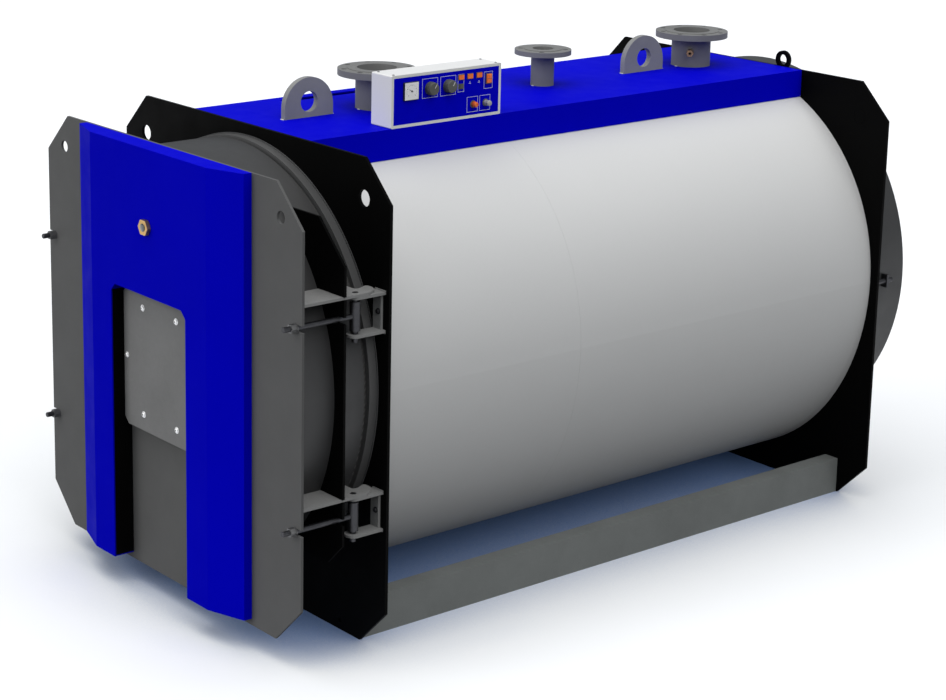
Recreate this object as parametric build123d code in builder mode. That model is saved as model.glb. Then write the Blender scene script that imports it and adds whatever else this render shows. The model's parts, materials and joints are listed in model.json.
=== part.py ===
from build123d import *
from math import cos, radians, sin, sqrt
import os

os.makedirs("parts", exist_ok=True)

# Round shell, the boiler's driving size, with the two tube plates that close it
body_length = 2100
shell_radius = 590
shell_wall = 12
tube_plate_thickness = 16
tube_plate_rim = 15.7
tube_plate_radius = shell_radius + tube_plate_rim

# White casing: round above its axis, a deeper half ellipse below it, in a left and a right half
casing_space = 60
casing_sag = 74
casing_sheet = 3
casing_seam = 756
casing_edge_x = 270
casing_radius = shell_radius + casing_space
casing_depth = casing_radius + casing_sag

# The axis lies as high as the casing needs to clear the floor
floor_gap = 48
axis_height = casing_depth + floor_gap
shell_top = axis_height + shell_radius

# End plates: they reach past the casing at the sides and the top
end_plate_margin = 30
end_plate_rise = 20
end_plate_thickness = 10
end_plate_chamfer = 118
lifting_hole_radius = 25
foot_hole_radius = 7
foot_hole_x = 467
foot_hole_height = 28
end_plate_width = 2 * (casing_radius + end_plate_margin)
end_plate_height = axis_height + casing_radius + end_plate_rise
half_width = end_plate_width / 2

# Blue cover along the top of the casing
top_cover_width = 600
top_cover_sheet = 4
cable_slot_x = -245
cable_slot_width = 34

# Channel rails that carry the boiler, just inside the feet of the end plates
rail_height = 120
rail_flange = 55
rail_web = 7
rail_flange_thickness = 9
rail_inset = 4
rail_outer_x = half_width - end_plate_chamfer - rail_inset

# Fire tubes in one ring, and the furnace in the room that they leave
fire_tube_radius = 38
fire_tube_wall = 4
fire_tube_count = 20
fire_tube_margin = 105
fire_tube_drop = 12
tube_end = 4
fire_tube_pitch_radius = shell_radius - shell_wall - fire_tube_margin - fire_tube_radius
fire_tube_axis_height = axis_height - fire_tube_drop
furnace_margin = 107
furnace_wall = 12
furnace_turn_space = 320
furnace_dish = 103
burner_drop = 29
furnace_radius = fire_tube_pitch_radius - fire_tube_radius - furnace_margin
burner_height = axis_height - burner_drop

# Front collar that the door closes on, with its gasket
collar_rim = 45
collar_wall = 10
collar_length = 30
collar_lip = 18
gasket_inset = 6
gasket_width = 40
gasket_thickness = 8.7
collar_radius = shell_radius + collar_rim
collar_flange_inner = shell_radius - collar_lip
gasket_inner = collar_flange_inner + gasket_inset
gasket_outer = gasket_inner + gasket_width

# Front door: sealing ring, drum, back plate and front plate
door_gap = 9
door_ring_lip = 30
door_ring_rim = 30
door_ring_thickness = 6
drum_rim = 40
drum_wall = 6
door_depth = 293
door_plate_thickness = 8
door_side_inset = 9
door_foot = 77
door_top_inset = 31
door_plate_chamfer = 120
door_hole_radius = 18.5
door_hole_inset = 99
door_ring_inner = shell_radius - door_ring_lip
door_ring_radius = shell_radius + door_ring_rim
drum_radius = shell_radius + drum_rim
door_width = end_plate_width - 2 * door_side_inset
door_plate_high = end_plate_height - door_top_inset

# Hinge pins and clamp pins, in front of the door ring
pin_side_inset = 38
pin_offset = 45
pin_radius = 9
pin_clearance = 0.4
pin_seat_gap = 0.15
pin_below = 16
pin_above = 8
pin_x = half_width - pin_side_inset
pin_reach = collar_length + door_gap + door_ring_thickness + pin_offset

# Door arms, one above and one below the axis on each side
upper_arm_rise = 313.3
lower_arm_drop = 274.7
arm_thickness = 8
arm_side_inset = 14
arm_neck = 72
arm_neck_lap = 30
arm_fillet = 8
arm_tops = (axis_height + upper_arm_rise, axis_height - lower_arm_drop)
arm_outer_x = half_width - arm_side_inset
arm_neck_x = pin_x - arm_neck

# Door back plate, level with the arms' rear ends
back_plate_offset = 60
back_plate_thickness = 8
back_plate_drop = 481
back_plate_rise = 519
back_plate_top_chamfer = 121
back_plate_low_chamfer = 68
back_plate_reach = pin_reach + back_plate_offset

# The arms' hooked tongues in plan, from the pin outwards and to the rear
tongue_points = ((24, 30), (6, 62), (-14, 72), (-44, 72), (-28, 38), (-28, 20), (-arm_neck, 20))

# Brackets round the pins
bracket_gap = 0.3
bracket_plate = 8
bracket_inside_height = 103
bracket_side_inset = 14
bracket_web_inset = 13
bracket_eye_radius = 24
slot_clearance = 2
bracket_outer_x = half_width - bracket_side_inset
bracket_inner_x = pin_x - bracket_eye_radius
bracket_front = pin_reach + bracket_eye_radius

# Swing bolts with their washers and nuts
barrel_radius = 15.5
barrel_gap = 9
rod_radius = 8
rod_slot_radius = 10
rod_tip = 23
rod_chamfer = 2
washer_radius = 14
washer_thickness = 3
nut_flats = 24
nut_thickness = 18
rod_reach = door_depth + washer_thickness + nut_thickness + rod_tip

# Blue cover on the door, with the recess for the burner
cover_width = 868
cover_face_width = 616
cover_side_depth = 27
cover_depth = 68
cover_foot_gap = 20
cover_sheet = 3
cover_fold_inset = 2.4
recess_width = 400
recess_top_gap = 10
recess_chamfer = 22
burner_frame_thickness = 14
burner_plate_thickness = 12
burner_plate_height = 434
burner_plate_gap = 4
burner_plate_chamfer = 20
burner_bore = 140
burner_bolt_radius = 6.5
burner_bolt_x = 90
burner_bolt_z = 166
burner_side_bolt_inset = 16
quarl_clearance = 20
quarl_reach = 73
quarl_edge = 20
cover_low = door_foot + cover_foot_gap
recess_top = burner_height + burner_plate_height / 2 + recess_top_gap
burner_plate_width = recess_width - 2 * burner_plate_gap
quarl_radius = furnace_radius - furnace_wall - quarl_clearance

# Sight glass in the door
sight_rise = 408
sight_body_radius = 15
sight_bore_radius = 9
sight_head_flats = 44
sight_head_length = 12
sight_tip = 13
sight_hole_radius = 23
sight_height = axis_height + sight_rise
sight_reach = door_depth + cover_depth + sight_tip

# Water connections on the top centre line, the middle one halfway between the others
supply_y = 483
return_inset = 242
return_y = body_length - return_inset
safety_y = (supply_y + return_y) / 2
supply_rise = 125
small_rise = 120
supply_face = end_plate_height + supply_rise
small_face = end_plate_height + small_rise
large_flange = {"pipe": 66.5, "wall": 4.5, "flange": 122.5, "pcd": 210, "holes": 8, "thick": 20}
small_flange = {"pipe": 38, "wall": 3.5, "flange": 92.5, "pcd": 145, "holes": 4, "thick": 16}
flange_hole_radius = 9
raised_face = 2
raised_face_inset = 30.5
pipe_gap = 1.5

# Lifting lugs through the top cover
front_lug_y = 217
rear_lug_inset = 477
lug_positions = (front_lug_y, body_length - rear_lug_inset)
lug_width = 180
lug_rise = 32
lug_thickness = 20
lug_hole_radius = 32
lug_hole_offset = 15
lug_gap = 1

# Control box on the right edge of the top cover
box_length = 425
box_height = 158
box_depth = 95
box_start = 302
box_sheet = 4
fascia_border = 9
fascia_thickness = 4

# Controls on the fascia: the gauge, knobs and lamps are placed from its front end, the rest from its rear end
gauge_size = 54
gauge_depth = 8
gauge_place = 70
knob_radius = 20
knob_depth = 22
knob_places = (146, 216)
knob_spindle_radius = 3
knob_gap = 0.6
knob_taper = 4
panel_row = 108
lamp_places = (266, 301, 337)
lamp_size = (20, 14)
lamp_depth = 4
lamp_row = 129
rocker_inset = 51
rocker_size = (18, 28)
rocker_depth = 7
rocker_row = 115
button_insets = (110, 61)
button_radius = 9
button_depth = 12
button_taper = 5
button_row = 42
control_edge = 2

# Smoke box at the rear with its flue outlet
smoke_rim = 66
smoke_wall = 5
smoke_length = 150
smoke_end_thickness = 8
flue_radius = 150
flue_wall = 3
flue_length = 90
flue_rise = 180
smoke_radius = shell_radius + smoke_rim

# Rear lifting eyes and smoke box clamps
rear_eye_x = 201
rear_eye_rise = 21
rear_eye_radius = 31
rear_eye_hole = 18.5
rear_eye_thickness = 12
rear_eye_tail_width = 31
stud_side_inset = 11
stud_radius = 8
stud_length = 75
stud_nut_flats = 21
smoke_lug_start = 40
smoke_lug_thickness = 10
smoke_lug_height = 44
rear_eye_height = end_plate_height + rear_eye_rise
stud_x = half_width - stud_side_inset

seat_gap = 0.3

# The origin is on the floor below the middle of the whole object
rear_reach = body_length + smoke_length + flue_length
front_y = (sight_reach - rear_reach) / 2
rear_y = front_y + body_length
hinge_y = front_y - pin_reach


def upright(y):
    """Upright plane at depth y that faces the front of the boiler."""
    return Plane(origin=(0, y, 0), x_dir=(1, 0, 0), z_dir=(0, -1, 0))


def chord(radius, offset):
    """Half width of a circle at a distance from its centre."""
    return sqrt(radius**2 - offset**2)


def clipped_plate(width, low, high, top_chamfer, low_chamfer):
    """Upright plate outline with its four corners cut off."""
    with Locations((0, (low + high) / 2)):
        outline = Rectangle(width, high - low)
    chamfer(outline.vertices().group_by(Axis.Y)[-1], top_chamfer)
    chamfer(outline.vertices().group_by(Axis.Y)[0], low_chamfer)


def ring(outer, inner, height=axis_height, x=0):
    """Round ring outline about an axis that runs from front to rear."""
    with Locations((x, height)):
        Circle(outer)
        Circle(inner, mode=Mode.SUBTRACT)


def keep(piece, name):
    """Names a finished piece and writes it."""
    piece.part.label = name
    export_step(piece.part, f"parts/{name}.step")


# End plates: the same outline, with a bore for the tube plate, lifting holes and foot holes
def end_plate(y):
    with BuildPart() as plate:
        with BuildSketch(upright(y)):
            clipped_plate(end_plate_width, 0, end_plate_height, end_plate_chamfer, end_plate_chamfer)
            with Locations((0, axis_height)):
                Circle(tube_plate_radius + seat_gap, mode=Mode.SUBTRACT)
            hole_x = half_width - end_plate_chamfer
            for side in (-1, 1):
                with Locations((side * hole_x, end_plate_height - end_plate_chamfer)):
                    Circle(lifting_hole_radius, mode=Mode.SUBTRACT)
                with Locations((side * foot_hole_x, foot_hole_height)):
                    Circle(foot_hole_radius, mode=Mode.SUBTRACT)
        extrude(amount=end_plate_thickness)
    return plate


front_plate = end_plate(front_y + end_plate_thickness)
keep(front_plate, "front_plate")

rear_plate = end_plate(rear_y)
keep(rear_plate, "rear_plate")

# Rails: two channels with their webs outwards
between_plates = body_length - 2 * end_plate_thickness
inner_rear_y = rear_y - end_plate_thickness
with BuildPart() as skid_rails:
    with BuildSketch(upright(inner_rear_y)):
        with Locations((rail_outer_x - rail_flange / 2, rail_height / 2)):
            Rectangle(rail_flange, rail_height)
        with Locations((rail_outer_x - rail_web - rail_flange / 2, rail_height / 2)):
            Rectangle(rail_flange, rail_height - 2 * rail_flange_thickness, mode=Mode.SUBTRACT)
    extrude(amount=between_plates)
    mirror(about=Plane.YZ)
keep(skid_rails, "skid_rails")

# Shell: a tube between the tube plates with openings under the three water connections
with BuildPart() as boiler_shell:
    with BuildSketch(upright(inner_rear_y)):
        ring(shell_radius, shell_radius - shell_wall)
    extrude(amount=between_plates)
    for y, size in ((supply_y, large_flange), (safety_y, small_flange), (return_y, large_flange)):
        with BuildSketch(Plane((0, front_y + y, axis_height))):
            Circle(size["pipe"] - size["wall"])
        extrude(amount=shell_radius + shell_wall, mode=Mode.SUBTRACT)
keep(boiler_shell, "boiler_shell")


# Tube plates: round discs that close the shell, drilled for the fire tubes
def tube_plate(y, with_furnace):
    with BuildPart() as plate:
        with BuildSketch(upright(y)):
            with Locations((0, axis_height)):
                Circle(tube_plate_radius)
            if with_furnace:
                with Locations((0, burner_height)):
                    Circle(furnace_radius + seat_gap, mode=Mode.SUBTRACT)
            with Locations((0, fire_tube_axis_height)):
                with PolarLocations(fire_tube_pitch_radius, fire_tube_count):
                    Circle(fire_tube_radius + seat_gap / 2, mode=Mode.SUBTRACT)
        extrude(amount=tube_plate_thickness)
    return plate


front_tube_y = front_y + end_plate_thickness
rear_tube_y = inner_rear_y + tube_plate_thickness
front_tube_plate = tube_plate(front_tube_y, True)
keep(front_tube_plate, "front_tube_plate")

rear_tube_plate = tube_plate(rear_tube_y, False)
keep(rear_tube_plate, "rear_tube_plate")

# Furnace: a wide tube with a closed, dished rear end
furnace_front = front_tube_y - tube_plate_thickness - tube_end
furnace_length = rear_y - furnace_turn_space - furnace_front
with BuildPart() as furnace_tube:
    with BuildSketch(upright(furnace_front + furnace_length)):
        with Locations((0, burner_height)):
            Circle(furnace_radius)
    extrude(amount=furnace_length)
    rear_rim = furnace_tube.edges().filter_by(GeomType.CIRCLE).sort_by(Axis.Y)[-1]
    fillet(rear_rim, furnace_dish)
    mouth = furnace_tube.faces().filter_by(GeomType.PLANE).sort_by(Axis.Y)[0]
    offset(amount=-furnace_wall, openings=mouth)
keep(furnace_tube, "furnace_tube")

# Fire tubes: one ring of tubes through both tube plates
with BuildPart() as fire_tubes:
    with BuildSketch(upright(rear_tube_y + tube_end)):
        with Locations((0, fire_tube_axis_height)):
            with PolarLocations(fire_tube_pitch_radius, fire_tube_count):
                Circle(fire_tube_radius)
                Circle(fire_tube_radius - fire_tube_wall, mode=Mode.SUBTRACT)
    extrude(amount=rear_tube_y + tube_end - furnace_front)
keep(fire_tubes, "fire_tubes")

# Collar: a short tube on the front plate with an inner flange for the gasket
collar_front = front_y - collar_length
with BuildPart() as front_collar:
    with BuildSketch(upright(front_y)):
        ring(collar_radius, collar_radius - collar_wall)
    extrude(amount=collar_length)
    with BuildSketch(upright(collar_front + collar_wall)):
        ring(collar_radius, collar_flange_inner)
    extrude(amount=collar_wall)
keep(front_collar, "front_collar")

with BuildPart() as door_gasket:
    with BuildSketch(upright(collar_front)):
        ring(gasket_outer, gasket_inner)
    extrude(amount=gasket_thickness)
keep(door_gasket, "door_gasket")


# Casing halves: egg-shaped section, a front and a rear sheet each, open under the top cover
half_turn = 180


def casing_loop(inset, mode):
    with BuildLine() as loop:
        CenterArc((0, axis_height), casing_radius - inset, 0, half_turn)
        EllipticalCenterArc(
            (0, axis_height),
            casing_radius - inset,
            casing_depth - inset,
            half_turn,
            arc_size=half_turn,
        )
    make_face(loop.edges(), mode=mode)


casing_start = front_y + end_plate_thickness
casing_joint = casing_start + casing_seam
casing_runs = ((casing_start, casing_joint), (casing_joint + seat_gap, inner_rear_y))


def casing_half(side):
    with BuildPart() as sheets:
        for start, end in casing_runs:
            with BuildSketch(upright(end)):
                casing_loop(0, Mode.ADD)
                casing_loop(casing_sheet, Mode.SUBTRACT)
                with Locations((0, axis_height)):
                    Rectangle(
                        2 * casing_edge_x,
                        casing_depth,
                        align=(Align.CENTER, Align.MIN),
                        mode=Mode.SUBTRACT,
                    )
                with Locations((side * seat_gap, axis_height)):
                    Rectangle(
                        2 * casing_radius,
                        3 * casing_depth,
                        align=(Align.MAX if side > 0 else Align.MIN, Align.CENTER),
                        mode=Mode.SUBTRACT,
                    )
            extrude(amount=end - start)
    return sheets


casing_right = casing_half(1)
keep(casing_right, "casing_right")

casing_left = casing_half(-1)
keep(casing_left, "casing_left")

# Top cover: a folded sheet standing on the casing
cover_wall_x = top_cover_width / 2 - top_cover_sheet
top_cover_low = axis_height + chord(casing_radius, cover_wall_x) + seat_gap
with BuildPart() as top_cover:
    with BuildSketch(upright(inner_rear_y)):
        with Locations((0, end_plate_height)):
            Rectangle(
                top_cover_width,
                end_plate_height - top_cover_low,
                align=(Align.CENTER, Align.MAX),
            )
        with Locations((0, end_plate_height - top_cover_sheet)):
            Rectangle(
                top_cover_width - 2 * top_cover_sheet,
                end_plate_height - top_cover_low,
                align=(Align.CENTER, Align.MAX),
                mode=Mode.SUBTRACT,
            )
    extrude(amount=between_plates)
    for y, size in ((supply_y, large_flange), (safety_y, small_flange), (return_y, large_flange)):
        with BuildSketch(Plane((0, front_y + y, top_cover_low))):
            Circle(size["pipe"] + pipe_gap)
        extrude(amount=end_plate_height - top_cover_low, mode=Mode.SUBTRACT)
    for y in lug_positions:
        with BuildSketch(Plane((0, front_y + y, top_cover_low))):
            Rectangle(lug_thickness + 2 * lug_gap, lug_width + 2 * lug_gap)
        extrude(amount=end_plate_height - top_cover_low, mode=Mode.SUBTRACT)
    with BuildSketch(Plane((cable_slot_x, front_y + box_start + box_length / 2, top_cover_low))):
        Rectangle(cable_slot_width, box_length)
    extrude(amount=end_plate_height - top_cover_low, mode=Mode.SUBTRACT)
keep(top_cover, "top_cover")

# Lifting lugs: half-round plates welded to the shell under the cover
lug_arc_height = end_plate_height + lug_rise
lug_foot = shell_top + seat_gap
with BuildPart() as lifting_lugs:
    with BuildSketch(Plane(origin=(-lug_thickness / 2, 0, 0), x_dir=(0, 1, 0), z_dir=(1, 0, 0))):
        for y in lug_positions:
            with Locations((front_y + y, lug_arc_height)):
                Circle(lug_width / 2)
            with Locations((front_y + y, lug_foot)):
                Rectangle(lug_width, lug_arc_height - lug_foot, align=(Align.CENTER, Align.MIN))
            with Locations((front_y + y, lug_arc_height + lug_hole_offset)):
                Circle(lug_hole_radius, mode=Mode.SUBTRACT)
    extrude(amount=lug_thickness)
keep(lifting_lugs, "lifting_lugs")


# Water connections: a pipe on the shell, and a drilled flange with a raised face round its end
def nozzle(y, face, size):
    flange_low = face - raised_face - size["thick"]
    with BuildPart() as fitting:
        with BuildSketch(Plane((0, front_y + y, flange_low))):
            Circle(size["flange"])
            with PolarLocations(size["pcd"] / 2, size["holes"], half_turn / size["holes"]):
                Circle(flange_hole_radius, mode=Mode.SUBTRACT)
        extrude(amount=size["thick"])
        with BuildSketch(Plane((0, front_y + y, face - raised_face))):
            Circle(size["flange"] - raised_face_inset)
        extrude(amount=raised_face)
        with BuildSketch(Plane((0, front_y + y, flange_low))):
            Circle(size["pipe"] + seat_gap)
        extrude(amount=face - flange_low, mode=Mode.SUBTRACT)
        with BuildSketch(Plane((0, front_y + y, axis_height))):
            Circle(size["pipe"])
            Circle(size["pipe"] - size["wall"], mode=Mode.SUBTRACT)
        extrude(amount=face - axis_height)
        with BuildSketch(upright(front_y + y + size["flange"])):
            with Locations((0, axis_height)):
                Circle(shell_radius + seat_gap)
        extrude(amount=2 * size["flange"], mode=Mode.SUBTRACT)
    return fitting


supply_nozzle = nozzle(supply_y, supply_face, large_flange)
keep(supply_nozzle, "supply_nozzle")

safety_nozzle = nozzle(safety_y, small_face, small_flange)
keep(safety_nozzle, "safety_nozzle")

return_nozzle = nozzle(return_y, small_face, large_flange)
keep(return_nozzle, "return_nozzle")

# Thermowell: a hexagon plug on the return pipe, turned towards the front right
well_rise = 52
well_length = 26
well_flats = 22
well_bore_radius = 4.4
well_angle = radians(-48)
well_base = large_flange["pipe"] + seat_gap
well_plane = Plane(
    origin=(
        well_base * cos(well_angle),
        front_y + return_y + well_base * sin(well_angle),
        end_plate_height + well_rise,
    ),
    z_dir=(cos(well_angle), sin(well_angle), 0),
)
with BuildPart() as thermowell:
    with BuildSketch(well_plane):
        RegularPolygon(well_flats / 2, 6, major_radius=False)
        Circle(well_bore_radius, mode=Mode.SUBTRACT)
    extrude(amount=well_length)
keep(thermowell, "thermowell")

# Control box: a shallow tray on the top cover with its open side to the right
box_face_x = top_cover_width / 2
box_y = front_y + box_start
box_low = end_plate_height
box_middle_y = box_y + box_length / 2
box_middle_z = box_low + box_height / 2
side_plane = Plane(origin=(box_face_x, box_middle_y, box_middle_z), x_dir=(0, 1, 0), z_dir=(1, 0, 0))
fascia_length = box_length - 2 * fascia_border
fascia_height = box_height - 2 * fascia_border
with BuildPart() as control_box:
    with BuildSketch(side_plane):
        RectangleRounded(box_length, box_height, box_sheet)
    extrude(amount=-box_depth)
    with BuildSketch(side_plane):
        Rectangle(fascia_length + 2 * seat_gap, fascia_height + 2 * seat_gap)
    extrude(amount=-fascia_thickness, mode=Mode.SUBTRACT)
    with BuildSketch(side_plane):
        Rectangle(fascia_length - 2 * box_sheet, fascia_height - 2 * box_sheet)
    extrude(amount=-(box_depth - box_sheet), mode=Mode.SUBTRACT)
keep(control_box, "control_box")

# Fascia: the plate that closes the box, bored for the two knob spindles
with BuildPart() as control_fascia:
    with BuildSketch(side_plane):
        Rectangle(fascia_length, fascia_height)
        for place in knob_places:
            with Locations((place - box_length / 2, panel_row - box_height / 2)):
                Circle(knob_spindle_radius + seat_gap, mode=Mode.SUBTRACT)
    extrude(amount=-fascia_thickness)
keep(control_fascia, "control_fascia")


def panel_plane(place, row, stand_off=0):
    """Plane on the fascia at a place along it, facing right."""
    return Plane(
        origin=(box_face_x + stand_off, box_y + place, box_low + row),
        x_dir=(0, 1, 0),
        z_dir=(1, 0, 0),
    )


with BuildPart() as pressure_gauge:
    with BuildSketch(panel_plane(gauge_place, panel_row)):
        RectangleRounded(gauge_size, gauge_size, control_edge)
    extrude(amount=gauge_depth)
keep(pressure_gauge, "pressure_gauge")


# Thermostat knobs: a tapered cap on a spindle through the fascia
def knob(place):
    with BuildPart() as cap:
        with BuildSketch(panel_plane(place, panel_row, knob_gap)):
            Circle(knob_radius)
        extrude(amount=knob_depth, taper=knob_taper)
        fillet(cap.edges().filter_by(GeomType.CIRCLE).sort_by(Axis.X)[-1], control_edge)
        with BuildSketch(panel_plane(place, panel_row, -2 * fascia_thickness)):
            Circle(knob_spindle_radius)
        extrude(amount=2 * fascia_thickness + knob_gap)
    return cap


knob_front = knob(knob_places[0])
keep(knob_front, "knob_front")

knob_rear = knob(knob_places[1])
keep(knob_rear, "knob_rear")

with BuildPart() as indicator_lamps:
    for place in lamp_places:
        with BuildSketch(panel_plane(place, lamp_row)):
            RectangleRounded(lamp_size[0], lamp_size[1], control_edge)
        extrude(amount=lamp_depth)
keep(indicator_lamps, "indicator_lamps")

with BuildPart() as power_switch:
    with BuildSketch(panel_plane(box_length - rocker_inset, rocker_row)):
        Rectangle(rocker_size[0], rocker_size[1])
    extrude(amount=rocker_depth)
    chamfer(power_switch.edges().filter_by(Axis.Y).group_by(Axis.X)[-1], control_edge)
keep(power_switch, "power_switch")

with BuildPart() as reset_buttons:
    for inset in button_insets:
        with BuildSketch(panel_plane(box_length - inset, button_row)):
            Circle(button_radius)
        extrude(amount=button_depth, taper=button_taper)
keep(reset_buttons, "reset_buttons")

# Smoke box: a short drum behind the rear plate, closed by an end plate with the flue outlet
smoke_rear = rear_y + smoke_length
flue_height = axis_height + flue_rise
with BuildPart() as smoke_box:
    with BuildSketch(upright(smoke_rear - smoke_end_thickness)):
        ring(smoke_radius, smoke_radius - smoke_wall)
    extrude(amount=smoke_length - smoke_end_thickness)
keep(smoke_box, "smoke_box")

with BuildPart() as smoke_box_end:
    with BuildSketch(upright(smoke_rear)):
        with Locations((0, axis_height)):
            Circle(smoke_radius)
        with Locations((0, flue_height)):
            Circle(flue_radius - flue_wall, mode=Mode.SUBTRACT)
    extrude(amount=smoke_end_thickness)
keep(smoke_box_end, "smoke_box_end")

with BuildPart() as flue_spigot:
    with BuildSketch(upright(smoke_rear + flue_length)):
        ring(flue_radius, flue_radius - flue_wall, flue_height)
    extrude(amount=flue_length)
keep(flue_spigot, "flue_spigot")

# Smoke box clamps: a lug on each side of the drum with a stud and nut from the rear plate
with BuildPart() as smoke_box_clamps:
    with BuildSketch(upright(rear_y + stud_length)):
        with Locations((stud_x, axis_height)):
            Circle(stud_radius)
    extrude(amount=stud_length)
    lug_rear = rear_y + smoke_lug_start + smoke_lug_thickness
    with BuildSketch(upright(lug_rear)):
        lug_low_x = smoke_radius + seat_gap
        with Locations((lug_low_x, axis_height)):
            Rectangle(
                half_width - lug_low_x, smoke_lug_height, align=(Align.MIN, Align.CENTER)
            )
    extrude(amount=smoke_lug_thickness)
    with BuildSketch(upright(lug_rear + smoke_lug_thickness)):
        with Locations((stud_x, axis_height)):
            RegularPolygon(stud_nut_flats / 2, 6, major_radius=False, rotation=30)
    extrude(amount=smoke_lug_thickness)
    mirror(about=Plane.YZ)
keep(smoke_box_clamps, "smoke_box_clamps")

# Rear lifting eyes: flat rings with a tail on the back of the rear plate
eye_foot = axis_height + chord(smoke_radius, rear_eye_x - rear_eye_tail_width / 2) + seat_gap
with BuildPart() as rear_lifting_eyes:
    with BuildSketch(upright(rear_y + rear_eye_thickness)):
        with Locations((rear_eye_x, rear_eye_height)):
            Circle(rear_eye_radius)
            Rectangle(
                rear_eye_tail_width, rear_eye_height - eye_foot, align=(Align.CENTER, Align.MAX)
            )
            Circle(rear_eye_hole, mode=Mode.SUBTRACT)
    extrude(amount=rear_eye_thickness)
    mirror(about=Plane.YZ)
keep(rear_lifting_eyes, "rear_lifting_eyes")


# Hinge brackets: two level plates round the pin, welded to a back plate on the front plate
def bracket_levels(arm_top):
    """Lower faces of a bracket's two level plates under one arm."""
    upper = arm_top - arm_thickness - bracket_gap - bracket_plate
    return upper - bracket_inside_height - bracket_plate, upper


def bracket_plan(side, slotted):
    """Level plate of a bracket, with its pin hole or a slot that is open to the front."""
    width = bracket_outer_x - bracket_inner_x
    middle_x = side * (bracket_outer_x + bracket_inner_x) / 2
    with Locations((middle_x, front_y)):
        Rectangle(width, pin_reach, align=(Align.CENTER, Align.MAX))
    with Locations((side * pin_x, hinge_y)):
        Circle(bracket_eye_radius)
        if slotted:
            slot_radius = pin_radius + slot_clearance
            Circle(slot_radius, mode=Mode.SUBTRACT)
            Rectangle(
                2 * slot_radius,
                bracket_front,
                align=(Align.CENTER, Align.MAX),
                mode=Mode.SUBTRACT,
            )
        else:
            Circle(pin_radius + pin_seat_gap, mode=Mode.SUBTRACT)


def brackets(side, slotted):
    with BuildPart() as pair:
        for arm_top in arm_tops:
            lower, upper = bracket_levels(arm_top)
            for level in (lower, upper):
                with BuildSketch(Plane.XY.offset(level)):
                    bracket_plan(side, slotted)
                extrude(amount=bracket_plate)
            web_width = bracket_outer_x - bracket_web_inset - bracket_inner_x
            with BuildSketch(upright(front_y)):
                with Locations((side * (bracket_inner_x + web_width / 2), lower)):
                    Rectangle(
                        web_width, upper + bracket_plate - lower, align=(Align.CENTER, Align.MIN)
                    )
            extrude(amount=bracket_plate)
    return pair


hinge_brackets = brackets(1, False)
keep(hinge_brackets, "hinge_brackets")

latch_brackets = brackets(-1, True)
keep(latch_brackets, "latch_brackets")


# Pins: one through each bracket, its swing bolt and the arm above
def pins(side):
    with BuildPart() as pair:
        for arm_top in arm_tops:
            lower, upper = bracket_levels(arm_top)
            with BuildSketch(Plane.XY.offset(lower - pin_below)):
                with Locations((side * pin_x, hinge_y)):
                    Circle(pin_radius)
            extrude(amount=upper + bracket_plate + pin_above + pin_below - lower)
    return pair


hinge_pins = pins(1)
keep(hinge_pins, "hinge_pins")

latch_pins = pins(-1)
keep(latch_pins, "latch_pins")

# Door ring: the flange that presses on the gasket, set back behind the drum's edge
ring_rear = collar_front - door_gap
ring_front = ring_rear - door_ring_thickness
with BuildPart() as door_ring:
    with BuildSketch(upright(ring_rear)):
        ring(door_ring_radius, door_ring_inner)
    extrude(amount=door_ring_thickness)
keep(door_ring, "door_ring")

# Door plates: the front plate and the back plate, open at the edges for the swing bolts
door_front = front_y - door_depth
door_back = door_front + door_plate_thickness
rod_levels = [sum(bracket_levels(top)) / 2 + bracket_plate / 2 for top in arm_tops]


def rod_slots():
    for side in (-1, 1):
        for level in rod_levels:
            with Locations((side * pin_x, level)):
                Circle(rod_slot_radius, mode=Mode.SUBTRACT)
                Rectangle(
                    door_width / 2,
                    2 * rod_slot_radius,
                    align=(Align.MIN if side > 0 else Align.MAX, Align.CENTER),
                    mode=Mode.SUBTRACT,
                )


with BuildPart() as door_plate:
    with BuildSketch(upright(door_back)):
        clipped_plate(
            door_width, door_foot, door_plate_high, door_plate_chamfer, door_plate_chamfer
        )
        rod_slots()
        for side in (-1, 1):
            with Locations((side * (door_width / 2 - door_hole_inset), door_plate_high - door_hole_inset)):
                Circle(door_hole_radius, mode=Mode.SUBTRACT)
        with Locations((0, burner_height)):
            Circle(burner_bore, mode=Mode.SUBTRACT)
        with Locations((0, sight_height)):
            Circle(sight_body_radius + seat_gap, mode=Mode.SUBTRACT)
    extrude(amount=door_plate_thickness)
keep(door_plate, "door_plate")


def arm_inner_x(arm_top):
    """Where an arm meets the drum: the drum's half width at the arm's level nearest the axis."""
    low_offset = abs(arm_top - axis_height)
    high_offset = abs(arm_top - arm_thickness - axis_height)
    return chord(drum_radius, min(low_offset, high_offset)) + seat_gap


back_front = front_y - back_plate_reach
back_rear = back_front + back_plate_thickness
with BuildPart() as door_back_plate:
    with BuildSketch(upright(back_rear)):
        clipped_plate(
            door_width,
            axis_height - back_plate_drop,
            axis_height + back_plate_rise,
            back_plate_top_chamfer,
            back_plate_low_chamfer,
        )
        rod_slots()
        for side in (-1, 1):
            for arm_top in arm_tops:
                with Locations((side * (arm_neck_x - seat_gap), arm_top + seat_gap)):
                    Rectangle(
                        door_width / 2,
                        arm_thickness + 2 * seat_gap,
                        align=(Align.MIN if side > 0 else Align.MAX, Align.MAX),
                        mode=Mode.SUBTRACT,
                    )
        with Locations((0, axis_height)):
            Circle(drum_radius + seat_gap, mode=Mode.SUBTRACT)
    extrude(amount=back_plate_thickness)
keep(door_back_plate, "door_back_plate")

with BuildPart() as door_drum:
    with BuildSketch(upright(ring_front)):
        ring(drum_radius, drum_radius - drum_wall)
    extrude(amount=ring_front - door_back)
keep(door_drum, "door_drum")

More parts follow.
